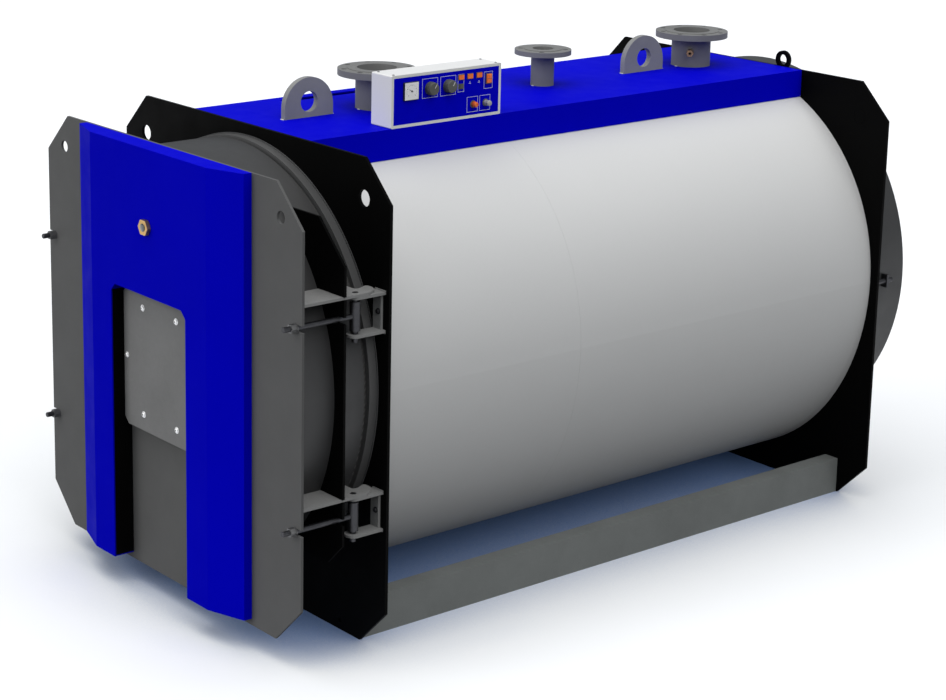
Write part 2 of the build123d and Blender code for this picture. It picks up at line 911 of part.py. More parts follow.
# Refractory: a disc that fills the drum, with the sight bore and the hole for the quarl
with BuildPart() as door_refractory:
    with BuildSketch(upright(ring_front)):
        with Locations((0, axis_height)):
            Circle(drum_radius - drum_wall - seat_gap)
    extrude(amount=ring_front - door_back)
    with BuildSketch(upright(ring_rear)):
        with Locations((0, axis_height)):
            Circle(door_ring_inner - seat_gap)
    extrude(amount=door_ring_thickness)
    with BuildSketch(upright(ring_rear)):
        with Locations((0, burner_height)):
            Circle(quarl_radius + seat_gap)
        with Locations((0, sight_height)):
            Circle(sight_body_radius)
    extrude(amount=ring_rear - door_back, mode=Mode.SUBTRACT)
keep(door_refractory, "door_refractory")

# Quarl: the thick ring round the burner's throat, which reaches into the furnace
quarl_rear = ring_rear + quarl_reach
with BuildPart() as burner_quarl:
    with BuildSketch(upright(quarl_rear)):
        ring(quarl_radius, burner_bore, burner_height)
    extrude(amount=quarl_rear - door_back)
    rear_edges = burner_quarl.edges().filter_by(GeomType.CIRCLE).group_by(Axis.Y)[-1]
    fillet(rear_edges.sort_by(SortBy.RADIUS)[-1], quarl_edge)
keep(burner_quarl, "burner_quarl")


# Door arms: level plates from the front plate through the back plate, hooked behind the pin
def arm_plan(side, inner_x):
    arm_width = arm_outer_x - inner_x
    with Locations((side * (inner_x + arm_width / 2), door_back)):
        Rectangle(arm_width, back_front - seat_gap - door_back, align=(Align.CENTER, Align.MIN))
    neck_start = back_front - arm_neck_lap
    points = [(side * arm_neck_x, neck_start), (side * arm_outer_x, neck_start)]
    points += [(side * (pin_x + out), hinge_y + back) for out, back in tongue_points]
    with BuildLine() as outline:
        FilletPolyline(*points, radius=arm_fillet, close=True)
    make_face(outline.edges())
    with Locations((side * pin_x, hinge_y)):
        Circle(pin_radius + pin_clearance, mode=Mode.SUBTRACT)


with BuildPart() as door_arms:
    for side in (-1, 1):
        for arm_top in arm_tops:
            with BuildSketch(Plane.XY.offset(arm_top - arm_thickness)):
                arm_plan(side, arm_inner_x(arm_top))
            extrude(amount=arm_thickness)
keep(door_arms, "door_arms")

# Swing bolts: a barrel on each pin with a rod forward through the slot in the door plate
with BuildPart() as swing_bolts:
    for side in (-1, 1):
        for arm_top, rod_level in zip(arm_tops, rod_levels):
            lower, upper = bracket_levels(arm_top)
            barrel_low = lower + bracket_plate + barrel_gap
            with BuildSketch(Plane.XY.offset(barrel_low)):
                with Locations((side * pin_x, hinge_y)):
                    Circle(barrel_radius)
            extrude(amount=bracket_inside_height - 2 * barrel_gap)
            with BuildSketch(upright(hinge_y)):
                with Locations((side * pin_x, rod_level)):
                    Circle(rod_radius)
            extrude(amount=rod_reach - pin_reach)
            with BuildSketch(Plane.XY.offset(barrel_low)):
                with Locations((side * pin_x, hinge_y)):
                    Circle(pin_radius + pin_clearance)
            extrude(amount=bracket_inside_height, mode=Mode.SUBTRACT)
    rod_tips = swing_bolts.edges().filter_by(GeomType.CIRCLE).group_by(Axis.Y)[0]
    chamfer(rod_tips, rod_chamfer)
keep(swing_bolts, "swing_bolts")

# Clamp nuts: a washer and a hexagon nut on each swing bolt in front of the door plate
with BuildPart() as clamp_nuts:
    for side in (-1, 1):
        for rod_level in rod_levels:
            with BuildSketch(upright(door_front)):
                with Locations((side * pin_x, rod_level)):
                    Circle(washer_radius)
                    Circle(rod_radius + pin_seat_gap, mode=Mode.SUBTRACT)
            extrude(amount=washer_thickness)
            with BuildSketch(upright(door_front - washer_thickness)):
                with Locations((side * pin_x, rod_level)):
                    RegularPolygon(nut_flats / 2, 6, major_radius=False)
                    Circle(rod_radius + pin_seat_gap, mode=Mode.SUBTRACT)
            extrude(amount=nut_thickness)
keep(clamp_nuts, "clamp_nuts")


# Door cover: a folded sheet, wedge-sided in plan, with the burner recess open at the bottom
def cover_plan(inset, fold_inset):
    """Plan of the cover seen from above, its back edge on the door plate."""
    half = cover_width / 2 - inset
    face_half = cover_face_width / 2 - fold_inset
    side_y = door_front - cover_side_depth
    face_y = door_front - cover_depth + inset
    with BuildLine() as plan:
        Polyline(
            (-half, door_front),
            (-half, side_y),
            (-face_half, face_y),
            (face_half, face_y),
            (half, side_y),
            (half, door_front),
            close=True,
        )
    make_face(plan.edges())


def recess_outline(margin):
    """Outline of the recess opening, from the cover's lower edge up."""
    with Locations((0, cover_low)):
        mouth = Rectangle(
            recess_width + 2 * margin,
            recess_top + margin - cover_low,
            align=(Align.CENTER, Align.MIN),
        )
    chamfer(mouth.vertices().group_by(Axis.Y)[-1], recess_chamfer)


with BuildPart() as door_cover:
    with BuildSketch(Plane.XY.offset(cover_low)):
        cover_plan(0, 0)
    extrude(amount=door_plate_high - cover_low)
    with BuildSketch(Plane.XY.offset(cover_low)):
        cover_plan(cover_sheet, cover_fold_inset)
    extrude(amount=door_plate_high - cover_low - cover_sheet, mode=Mode.SUBTRACT)
    with BuildSketch(upright(door_front)):
        recess_outline(cover_sheet)
    extrude(amount=cover_depth - cover_sheet)
    with BuildSketch(upright(door_front)):
        recess_outline(0)
    extrude(amount=cover_depth, mode=Mode.SUBTRACT)
    with BuildSketch(upright(door_front)):
        with Locations((0, sight_height)):
            Circle(sight_hole_radius)
    extrude(amount=cover_depth, mode=Mode.SUBTRACT)
keep(door_cover, "door_cover")


# Burner frame and blanking plate: two plates of one outline on the door plate
def burner_outline():
    with Locations((0, burner_height)):
        plate = Rectangle(burner_plate_width, burner_plate_height)
    chamfer(plate.vertices(), burner_plate_chamfer)
    with Locations((0, burner_height)):
        with GridLocations(2 * burner_bolt_x, 2 * burner_bolt_z, 2, 2):
            Circle(burner_bolt_radius, mode=Mode.SUBTRACT)
        with GridLocations(burner_plate_width - 2 * burner_side_bolt_inset, 0, 2, 1):
            Circle(burner_bolt_radius, mode=Mode.SUBTRACT)


with BuildPart() as burner_frame:
    with BuildSketch(upright(door_front)):
        burner_outline()
        with Locations((0, burner_height)):
            Circle(burner_bore, mode=Mode.SUBTRACT)
    extrude(amount=burner_frame_thickness)
keep(burner_frame, "burner_frame")

with BuildPart() as burner_blank:
    with BuildSketch(upright(door_front - burner_frame_thickness)):
        burner_outline()
    extrude(amount=burner_plate_thickness)
keep(burner_blank, "burner_blank")

# Sight glass: a hexagon head on a short tube through the door plate
sight_front = front_y - sight_reach
with BuildPart() as sight_glass:
    with BuildSketch(upright(door_back)):
        with Locations((0, sight_height)):
            Circle(sight_body_radius)
    extrude(amount=door_back - sight_front)
    with BuildSketch(upright(sight_front + sight_head_length)):
        with Locations((0, sight_height)):
            RegularPolygon(sight_head_flats / 2, 6, major_radius=False)
    extrude(amount=sight_head_length)
    with BuildSketch(upright(door_back)):
        with Locations((0, sight_height)):
            Circle(sight_bore_radius)
    extrude(amount=door_back - sight_front, mode=Mode.SUBTRACT)
keep(sight_glass, "sight_glass")
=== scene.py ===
import json
from math import cos, pi, radians, sin
import bmesh
import bpy
from mathutils import Matrix, Vector


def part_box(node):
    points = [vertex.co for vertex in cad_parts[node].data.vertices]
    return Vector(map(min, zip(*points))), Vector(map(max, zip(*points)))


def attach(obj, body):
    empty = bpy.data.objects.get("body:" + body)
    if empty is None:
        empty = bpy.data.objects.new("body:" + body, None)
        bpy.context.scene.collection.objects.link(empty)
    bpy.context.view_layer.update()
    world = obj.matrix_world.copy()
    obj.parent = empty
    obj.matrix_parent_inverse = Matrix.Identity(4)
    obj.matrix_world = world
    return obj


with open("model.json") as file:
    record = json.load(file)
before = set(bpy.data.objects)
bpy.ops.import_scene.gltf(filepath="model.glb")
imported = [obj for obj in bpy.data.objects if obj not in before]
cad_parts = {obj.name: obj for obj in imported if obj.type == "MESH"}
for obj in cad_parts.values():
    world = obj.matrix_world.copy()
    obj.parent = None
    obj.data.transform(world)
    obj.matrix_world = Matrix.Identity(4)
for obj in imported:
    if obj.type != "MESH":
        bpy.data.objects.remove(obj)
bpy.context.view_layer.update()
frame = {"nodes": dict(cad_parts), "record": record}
nodes = frame["nodes"]
MM = 0.001
X, Y, Z = range(3)


# Places read from the frame
def low(node):
    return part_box(node)[0]


def high(node):
    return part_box(node)[1]


def middle(node, axis):
    return (low(node)[axis] + high(node)[axis]) / 2


def half_wide(node):
    return (high(node)[X] - low(node)[X]) / 2


plate_front_y = low("front_plate")[Y]
plate_rear_y = high("rear_plate")[Y]
door_back_y = high("door_plate")[Y]
axis_z = middle("door_drum", Z)
cover_top_z = high("top_cover")[Z]
panel_x = high("control_fascia")[X]
box_low = low("control_box")
box_high = high("control_box")
blank_y = low("burner_blank")[Y]
blank_z = middle("burner_blank", Z)
blank_half_x = high("burner_blank")[X]

# Sizes of the solids that their boxes don't give
large_pipe, small_pipe = 66.5 * MM, 38 * MM
large_flange, small_flange = 22 * MM, 18 * MM
connections = (
    ("supply_nozzle", large_pipe, large_flange),
    ("return_nozzle", large_pipe, large_flange),
    ("safety_nozzle", small_pipe, small_flange),
)
blank_screw_x, blank_screw_z, blank_screw_inset = 90 * MM, 166 * MM, 16 * MM
bracket_web = 8 * MM
recess_half_x = 200 * MM
rear_hole_x, rear_hole_z = 562 * MM, 1324 * MM

# Places of the controls, in millimetres along and up from the control box's lower front corner
gauge_place = (70, 108)
switch_place = (266, 101)
lamp_columns, lamp_row = (266, 301, 337), 129
mark_row = 108
rocker_place = (374, 115)
reset_place, test_place = (315, 42), (364, 42)

# Sizes of the weld beads
seam_weld, thin_weld, tube_weld = 3 * MM, 2.5 * MM, 2 * MM
weld_out = 1 * MM


# Node helpers for the materials
class Shader:
    """A material with one Principled shader whose pattern is fixed to the object."""

    def __init__(self, name):
        self.material = bpy.data.materials.new(name)
        self.material.use_nodes = True
        self.tree = self.material.node_tree
        self.shader = self.tree.nodes["Principled BSDF"]
        self.place = self.add("ShaderNodeTexCoord").outputs["Object"]

    def add(self, kind, **settings):
        node = self.tree.nodes.new(kind)
        for key, value in settings.items():
            setattr(node, key, value)
        return node

    def link(self, output, target):
        self.tree.links.new(output, target)

    def stretched(self, scale):
        mapping = self.add("ShaderNodeMapping")
        mapping.inputs["Scale"].default_value = scale
        self.link(self.place, mapping.inputs["Vector"])
        return mapping.outputs["Vector"]

    def noise(self, scale, detail, rough, vector=None):
        node = self.add("ShaderNodeTexNoise")
        node.inputs["Scale"].default_value = scale
        node.inputs["Detail"].default_value = detail
        node.inputs["Roughness"].default_value = rough
        self.link(vector or self.place, node.inputs["Vector"])
        return node.outputs["Fac"]

    def cells(self, scale, feature="F1"):
        node = self.add("ShaderNodeTexVoronoi", feature=feature)
        node.inputs["Scale"].default_value = scale
        self.link(self.place, node.inputs["Vector"])
        return node.outputs["Distance"]

    def remap(self, value, start, end, low_value, high_value):
        node = self.add("ShaderNodeMapRange")
        node.inputs["From Min"].default_value = start
        node.inputs["From Max"].default_value = end
        node.inputs["To Min"].default_value = low_value
        node.inputs["To Max"].default_value = high_value
        self.link(value, node.inputs["Value"])
        return node.outputs["Result"]

    def ramp(self, value, stops):
        node = self.add("ShaderNodeValToRGB")
        ramp = node.color_ramp
        while len(ramp.elements) < len(stops):
            ramp.elements.new(0.5)
        for element, (position, colour) in zip(ramp.elements, stops):
            element.position = position
            element.color = (*colour, 1)
        self.link(value, node.inputs["Fac"])
        return node.outputs["Color"]

    def mix(self, share, first, second, blend="MIX"):
        node = self.add("ShaderNodeMix", data_type="RGBA", blend_type=blend)
        for socket, value in ((node.inputs[0], share), (node.inputs[6], first), (node.inputs[7], second)):
            if isinstance(value, (int, float)):
                socket.default_value = value
            elif isinstance(value, tuple):
                socket.default_value = (*value, 1)
            else:
                self.link(value, socket)
        return node.outputs[2]

    def bumps(self, *layers):
        """Stacks bump layers, each a height and its depth in metres."""
        normal = None
        for height, depth in layers:
            node = self.add("ShaderNodeBump")
            node.inputs["Strength"].default_value = 1
            node.inputs["Distance"].default_value = depth
            self.link(height, node.inputs["Height"])
            if normal is not None:
                self.link(normal, node.inputs["Normal"])
            normal = node.outputs["Normal"]
        self.link(normal, self.shader.inputs["Normal"])

    def colour(self, output):
        self.link(output, self.shader.inputs["Base Color"])

    def rough(self, output):
        self.link(output, self.shader.inputs["Roughness"])

    def set(self, **values):
        for key, value in values.items():
            self.shader.inputs[key.replace("_", " ")].default_value = value


def grey(level):
    return (level, level, level)


def shade(colour, factor):
    return tuple(min(1, part * factor) for part in colour)


# Materials
def paint(name, colour, rough, peel, wave, spread, gloss):
    """Sprayed or powder-coated steel: orange peel, faint clouding and fine specks."""
    m = Shader(name)
    cloud = m.noise(2.2, 4, 0.55)
    speck = m.noise(900, 2, 0.6)
    tone = m.ramp(cloud, [(0.3, shade(colour, 1 - spread)), (0.7, shade(colour, 1 + spread))])
    fleck = m.ramp(speck, [(0.35, grey(0.93)), (0.65, grey(1))])
    m.colour(m.mix(1.0, tone, fleck, "MULTIPLY"))
    m.rough(m.remap(m.noise(14, 5, 0.6), 0.3, 0.7, rough - 0.05, rough + 0.07))
    m.bumps((m.noise(420, 2, 0.5), peel), (m.noise(3.1, 2, 0.4), wave))
    m.set(Specular_IOR_Level=gloss)
    return m.material


def rolled_paint(name, colour, rough, gloss):
    """Matt primer on rolled plate: mill texture under the paint and worn patches."""
    m = Shader(name)
    mill = m.noise(60, 6, 0.7)
    patch = m.noise(5, 5, 0.6)
    tone = m.ramp(patch, [(0.32, shade(colour, 0.9)), (0.5, colour), (0.72, shade(colour, 1.1))])
    grain = m.ramp(m.noise(700, 3, 0.7), [(0.3, grey(0.86)), (0.7, grey(1))])
    m.colour(m.mix(1.0, tone, grain, "MULTIPLY"))
    m.rough(m.remap(mill, 0.3, 0.7, rough - 0.08, rough + 0.1))
    m.bumps((mill, 0.00025), (m.noise(900, 2, 0.5), 0.00006))
    m.set(Specular_IOR_Level=gloss)
    return m.material


def metal(name, colour, rough, stretch):
    """Bare or plated metal with fine tool marks and slight tarnish."""
    m = Shader(name)
    m.set(Metallic=1.0)
    stain = m.noise(38, 5, 0.6)
    m.colour(m.ramp(stain, [(0.3, shade(colour, 0.88)), (0.7, shade(colour, 1.12))]))
    m.rough(m.remap(m.noise(160, 4, 0.6), 0.3, 0.7, rough - 0.08, rough + 0.12))
    marks = m.noise(900, 3, 0.6, m.stretched(stretch))
    m.bumps((marks, 0.00003))
    return m.material


def moulded(name, colour, rough, grain=0.00003, spread=0.03, **extra):
    """Moulded plastic with a fine spark-eroded grain."""
    m = Shader(name)
    cloud = m.noise(20, 3, 0.5)
    m.colour(m.ramp(cloud, [(0.3, shade(colour, 1 - spread)), (0.7, shade(colour, 1 + spread))]))
    m.rough(m.remap(m.noise(120, 3, 0.5), 0.3, 0.7, rough - 0.04, rough + 0.06))
    m.bumps((m.noise(1500, 2, 0.6), grain))
    m.set(**extra)
    return m.material


def cast_refractory(name):
    """Cast refractory: sandy grain, pores and hairline cracks."""
    m = Shader(name)
    sand = m.noise(240, 5, 0.7)
    tone = m.ramp(m.noise(7, 5, 0.6), [(0.3, (0.42, 0.36, 0.27)), (0.7, (0.60, 0.53, 0.43))])
    grit = m.ramp(sand, [(0.3, (0.72, 0.70, 0.68)), (0.7, grey(1))])
    crack = m.remap(m.cells(5, "DISTANCE_TO_EDGE"), 0.0, 0.012, 0.0, 1.0)
    dark = m.ramp(crack, [(0.0, (0.80, 0.78, 0.76)), (1.0, grey(1))])
    m.colour(m.mix(1.0, m.mix(1.0, tone, grit, "MULTIPLY"), dark, "MULTIPLY"))
    m.set(Roughness=0.95)
    m.bumps((sand, 0.0006), (m.cells(70), 0.0008), (crack, 0.0006))
    return m.material


def fibre_rope(name):
    """Plaited graphited fibre rope laid in a ring."""
    m = Shader(name)
    twist = m.add("ShaderNodeTexWave", wave_type="RINGS", bands_direction="Y")
    twist.inputs["Scale"].default_value = 26
    twist.inputs["Distortion"].default_value = 2.5
    twist.inputs["Detail"].default_value = 3
    m.link(m.place, twist.inputs["Vector"])
    strand = m.noise(260, 4, 0.6)
    m.colour(m.ramp(strand, [(0.3, grey(0.018)), (0.7, (0.045, 0.044, 0.042))]))
    m.set(Roughness=0.9, Sheen_Weight=0.3)
    m.bumps((twist.outputs["Fac"], 0.0012), (strand, 0.0005))
    return m.material


def boiler_plate(name):
    """Bare boiler plate: blue-grey mill scale with rust blooming through it."""
    m = Shader(name)
    scale = m.noise(9, 6, 0.65)
    blue_scale, worn_scale, rust = (0.055, 0.055, 0.06), (0.10, 0.095, 0.09), (0.20, 0.10, 0.05)
    m.colour(m.ramp(scale, [(0.35, blue_scale), (0.55, worn_scale), (0.72, rust)]))
    m.rough(m.remap(m.noise(50, 5, 0.6), 0.3, 0.7, 0.5, 0.8))
    m.set(Metallic=0.35)
    m.bumps((m.noise(75, 6, 0.7), 0.0004), (scale, 0.0008))
    return m.material


def lamp_lens(name):
    """Orange lamp lens with moulded ribs and a faint glow."""
    m = Shader(name)
    ribs = m.add("ShaderNodeTexWave", bands_direction="Y")
    ribs.inputs["Scale"].default_value = 330
    m.link(m.place, ribs.inputs["Vector"])
    m.colour(m.ramp(ribs.outputs["Fac"], [(0.0, (0.70, 0.10, 0.01)), (1.0, (0.95, 0.20, 0.03))]))
    m.set(Roughness=0.25, Emission_Color=(1.0, 0.22, 0.03, 1), Emission_Strength=0.12)
    m.bumps((ribs.outputs["Fac"], 0.0003))
    return m.material


BLUE = (0.0, 0.0, 0.52)
materials = {
    "black_paint": paint(
        "black_powder_coat", grey(0.0015), rough=0.55, peel=0.00006, wave=0.0006, spread=0.2, gloss=0.03
    ),
    "grey_paint": paint(
        "grey_heat_paint", grey(0.10), rough=0.6, peel=0.00006, wave=0.0005, spread=0.05, gloss=0.15
    ),
    # Darker copy of the heat paint: partly the parts' own dark paint, partly painted shade for the drum in
    # the gap between the door and the front plate
    "dark_grey_paint": paint(
        "dark_and_shaded_heat_paint", (0.026, 0.026, 0.027),
        rough=0.5, peel=0.00006, wave=0.0005, spread=0.08, gloss=0.5,
    ),
    "light_grey_paint": rolled_paint("grey_plate_paint", (0.24, 0.24, 0.238), 0.55, 0.2),
    "rail_paint": rolled_paint("rail_primer", (0.19, 0.20, 0.196), 0.6, 0.2),
    "white_casing": paint(
        "white_coated_sheet", grey(0.62), rough=0.5, peel=0.00002, wave=0.0008, spread=0.008, gloss=0.15
    ),
    "blue_cover": paint(
        "blue_powder_coat", BLUE, rough=0.6, peel=0.00004, wave=0.0006, spread=0.04, gloss=0.02
    ),
    "box_white": paint(
        "box_enamel", grey(0.72), rough=0.42, peel=0.00002, wave=0.0, spread=0.015, gloss=0.2
    ),
    "fascia_blue": moulded("fascia_foil", BLUE, 0.5, 0.00001, 0.04, Specular_IOR_Level=0.03),
    "gauge_white": moulded("gauge_plastic", (0.02, 0.02, 0.025), 0.3),
    "lamp_orange": lamp_lens("lamp_lens"),
    "button_grey": moulded("button_plastic", (0.38, 0.38, 0.37), 0.4),
    "knob_black": moulded(
        "knob_plastic", (0.085, 0.088, 0.08), 0.55, 0.00006, 0.1, Specular_IOR_Level=0.3
    ),
    "brass": metal("turned_brass", (0.52, 0.33, 0.13), 0.35, stretch=(1, 30, 1)),
    "zinc_steel": metal("zinc_plate", (0.15, 0.15, 0.153), 0.5, stretch=(1, 25, 1)),
    "dark_steel": metal("black_oxide_steel", (0.06, 0.06, 0.065), 0.45, stretch=(1, 25, 1)),
    "primer_steel": boiler_plate("boiler_plate"),
    "rope_seal": fibre_rope("seal_rope"),
    "refractory": cast_refractory("cast_refractory"),
}
print_white = moulded("print_white", (0.62, 0.63, 0.72), 0.45, 0.00001)
dial_white = moulded("dial_white", (0.80, 0.80, 0.82), 0.45, 0.00001)
ink = moulded("dial_ink", (0.05, 0.05, 0.06), 0.5, 0.00001)
bolt_white = metal("bright_zinc", grey(0.80), 0.45, stretch=(30, 1, 30))
socket_dark = moulded("socket_shadow", grey(0.01), 0.6)
weld_grey = rolled_paint("painted_weld", (0.22, 0.22, 0.218), 0.5, 0.2)
weld_dark = rolled_paint("dark_painted_weld", (0.035, 0.035, 0.036), 0.5, 0.4)
weld_scale = rolled_paint("bare_weld", (0.10, 0.095, 0.09), 0.5, 0.3)
seal_white = moulded("seal_rubber", (0.55, 0.55, 0.53), 0.5)
weld_black = rolled_paint("black_weld", grey(0.002), 0.55, 0.03)
orange_plastic = moulded("orange_plastic", (0.72, 0.13, 0.01), 0.35, 0.00002)
dark_glass = moulded("sight_glass_pane", (0.012, 0.014, 0.016), 0.12, 0.0, 0.2, Coat_Weight=1.0)

# The carried-over pieces get their slot's material, and a few of them a coat of their own
slot_of = {part["node"]: part["material_slot"] for part in frame["record"]["subparts"]}
pipe_paint = rolled_paint("pipe_paint", (0.18, 0.18, 0.178), 0.55, 0.2)
own_paint = {
    "supply_nozzle": pipe_paint,
    "safety_nozzle": pipe_paint,
    "return_nozzle": pipe_paint,
    "burner_blank": rolled_paint("blanking_plate_paint", grey(0.19), 0.55, 0.2),
    "front_collar": paint(
        "collar_paint", (0.075, 0.075, 0.076), rough=0.5, peel=0.00006, wave=0.0005, spread=0.08, gloss=0.4
    ),
}
for node_name, node in nodes.items():
    node.data.materials.clear()
    node.data.materials.append(own_paint.get(node_name, materials[slot_of[node_name]]))


# Mesh helpers
def piece(name, mesh, material, body, smooth=False):
    """Turns a bmesh into a named piece that rides on a body."""
    data = bpy.data.meshes.new(name)
    bmesh.ops.recalc_face_normals(mesh, faces=mesh.faces)
    mesh.to_mesh(data)
    mesh.free()
    data.materials.append(material)
    if smooth:
        for face in data.polygons:
            face.use_smooth = True
    thing = bpy.data.objects.new(name, data)
    bpy.context.scene.collection.objects.link(thing)
    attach(thing, body)


def frame_at(origin, outward, up=(0, 0, 1)):
    """Matrix that puts local +Z along outward at origin."""
    z = Vector(outward).normalized()
    x = Vector(up).cross(z).normalized()
    y = z.cross(x)
    return Matrix.Translation(Vector(origin)) @ Matrix((x, y, z)).transposed().to_4x4()


def turned(mesh, place, profile, steps=24):
    """Revolves a profile of (radius, height) points about local Z at a place."""
    rings = []
    for radius, height in profile:
        if radius == 0:
            rings.append([mesh.verts.new(place @ Vector((0, 0, height)))])
            continue
        ring = []
        for step in range(steps):
            angle = 2 * pi * step / steps
            ring.append(mesh.verts.new(place @ Vector((radius * cos(angle), radius * sin(angle), height))))
        rings.append(ring)
    for lower, upper in zip(rings, rings[1:]):
        for step in range(steps):
            after = (step + 1) % steps
            corners = [lower[step % len(lower)], lower[after % len(lower)]]
            corners += [upper[after % len(upper)], upper[step % len(upper)]]
            corners = list(dict.fromkeys(corners))
            if len(corners) > 2:
                mesh.faces.new(corners)


def prism(mesh, place, outline, start, end):
    """Extrudes a closed outline of local (x, y) points from one height to another."""
    lower = [mesh.verts.new(place @ Vector((x, y, start))) for x, y in outline]
    upper = [mesh.verts.new(place @ Vector((x, y, end))) for x, y in outline]
    count = len(outline)
    for step in range(count):
        after = (step + 1) % count
        mesh.faces.new((lower[step], lower[after], upper[after], upper[step]))
    mesh.faces.new(upper)
    mesh.faces.new(list(reversed(lower)))


def polygon(radius, sides, turn=0.0):
    """Corners of a regular polygon."""
    angles = [turn + 2 * pi * side / sides for side in range(sides)]
    return [(radius * cos(angle), radius * sin(angle)) for angle in angles]


def bar(mesh, place, x0, y0, x1, y1, start, end):
    """Flat rectangular bar in local coordinates."""
    prism(mesh, place, [(x0, y0), (x1, y0), (x1, y1), (x0, y1)], start, end)


def outline_frame(mesh, place, x0, y0, x1, y1, line, start, end):
    """Thin rectangular frame in local coordinates."""
    bar(mesh, place, x0, y0, x1, y0 + line, start, end)
    bar(mesh, place, x0, y1 - line, x1, y1, start, end)
    bar(mesh, place, x0, y0 + line, x0 + line, y1 - line, start, end)
    bar(mesh, place, x1 - line, y0 + line, x1, y1 - line, start, end)


def stroke(mesh, place, angle, start, end, half, foot, top):
    """Straight mark along a radius of a dial or a knob."""
    along = Vector((cos(angle), sin(angle)))
    side = Vector((-along.y, along.x)) * half
    inner, outer = along * start, along * end
    prism(mesh, place, [inner - side, outer - side, outer + side, inner + side], foot, top)


def bead(mesh, points, radius, wave, closed=False):
    """Weld bead along a line of points, with the ripples that a welder leaves."""
    sides, ripple = 5, 0.16
    off_every_seam = Vector((0.21, 0.34, 0.92))
    last = len(points) - 1
    rings = []
    travelled = 0.0
    for index, point in enumerate(points):
        before = points[index - 1] if closed or index else point
        after = points[(index + 1) % len(points)] if closed or index < last else point
        along = (after - before).normalized()
        side = along.cross(off_every_seam).normalized()
        rise = along.cross(side)
        if index:
            travelled += (point - before).length
        swell = radius * (1 + ripple * sin(2 * pi * travelled / wave))
        round_section = polygon(swell, sides)
        rings.append([mesh.verts.new(point + side * across + rise * up) for across, up in round_section])
    pairs = list(zip(rings, rings[1:]))
    if closed:
        pairs.append((rings[-1], rings[0]))
    for first, second in pairs:
        for k in range(sides):
            after = (k + 1) % sides
            mesh.faces.new((first[k], first[after], second[after], second[k]))
    if not closed:
        mesh.faces.new(rings[0])
        mesh.faces.new(list(reversed(rings[-1])))


def round_weld(mesh, centre, radius, size=seam_weld, axis=Y, step=2.4 * MM):
    """Bead round a pipe or drum whose axis is Y or Z."""
    steps = max(24, int(2 * pi * radius / step))
    points = []
    for across, along in polygon(radius, steps):
        points.append(Vector(centre) + Vector((across, 0, along) if axis == Y else (across, along, 0)))
    bead(mesh, points, size, 4 * step, True)


def straight_weld(mesh, start, end, step=2 * MM):
    """Thin bead along a straight seam."""
    start, end = Vector(start), Vector(end)
    count = max(2, int((end - start).length / step))
    points = [start.lerp(end, index / count) for index in range(count + 1)]
    bead(mesh, points, thin_weld, 8 * MM)


def solids_of(node):
    """Boxes round the separate solids of a node."""
    data = nodes[node].data
    place = nodes[node].matrix_world
    owner = list(range(len(data.vertices)))

    def root(index):
        while owner[index] != index:
            owner[index] = owner[owner[index]]
            index = owner[index]
        return index

    first_at = {}
    for vertex in data.vertices:
        key = tuple(round(part * 1e5) for part in vertex.co)
        if key in first_at:
            owner[root(vertex.index)] = root(first_at[key])
        else:
            first_at[key] = vertex.index
    for edge in data.edges:
        owner[root(edge.vertices[0])] = root(edge.vertices[1])
    boxes = {}
    for vertex in data.vertices:
        spot = place @ vertex.co
        box = boxes.setdefault(root(vertex.index), [list(spot), list(spot)])
        for axis in (X, Y, Z):
            box[0][axis] = min(box[0][axis], spot[axis])
            box[1][axis] = max(box[1][axis], spot[axis])
    return list(boxes.values())


# Burner plate
def burner_screws():
    """Washers with domed socket heads, near the plate's corners and sides, with painted shade in each
    socket.
    """
    bright, dark = bmesh.new(), bmesh.new()
    shank, washer_radius, head_radius, socket_radius = 6.2 * MM, 10 * MM, 7.5 * MM, 3.2 * MM
    washer_top, chamfer, head_top, socket_floor = 1.8 * MM, 0.4 * MM, 6 * MM, 3.4 * MM
    profile = [
        (0, -4 * MM), (shank, -4 * MM), (shank, 0), (washer_radius, 0),
        (washer_radius, washer_top - chamfer), (washer_radius - chamfer, washer_top),
        (head_radius, washer_top), (head_radius, 3.2 * MM), (head_radius * 0.86, 5.0 * MM),
        (socket_radius, head_top), (socket_radius, socket_floor), (0, socket_floor),
    ]
    places = [(x, z) for x in (-blank_screw_x, blank_screw_x) for z in (-blank_screw_z, blank_screw_z)]
    places += [(x, 0) for x in (blank_screw_inset - blank_half_x, blank_half_x - blank_screw_inset)]
    for x, z in places:
        place = frame_at((x, blank_y, blank_z + z), (0, -1, 0))
        turned(bright, place, profile, 28)
        # A near-black hexagon on each socket's floor is painted shade in the socket
        prism(dark, place, polygon(socket_radius * 0.97, 6), socket_floor, 3.7 * MM)
    piece("burner_screws", bright, bolt_white, "door")
    piece("burner_screw_socket_shadows", dark, socket_dark, "door")


# Control panel: everything lies on the fascia's face, local x along +Y and local y up
panel_turn = Matrix(((0, 0, 1, 0), (1, 0, 0, 0), (0, 1, 0, 0), (0, 0, 0, 1)))


def panel_at(along, row, proud=0.0):
    """Matrix of a place on the panel's face, in millimetres along and up it."""
    origin = (panel_x + proud, box_low[Y] + along * MM, box_low[Z] + row * MM)
    return Matrix.Translation(Vector(origin)) @ panel_turn


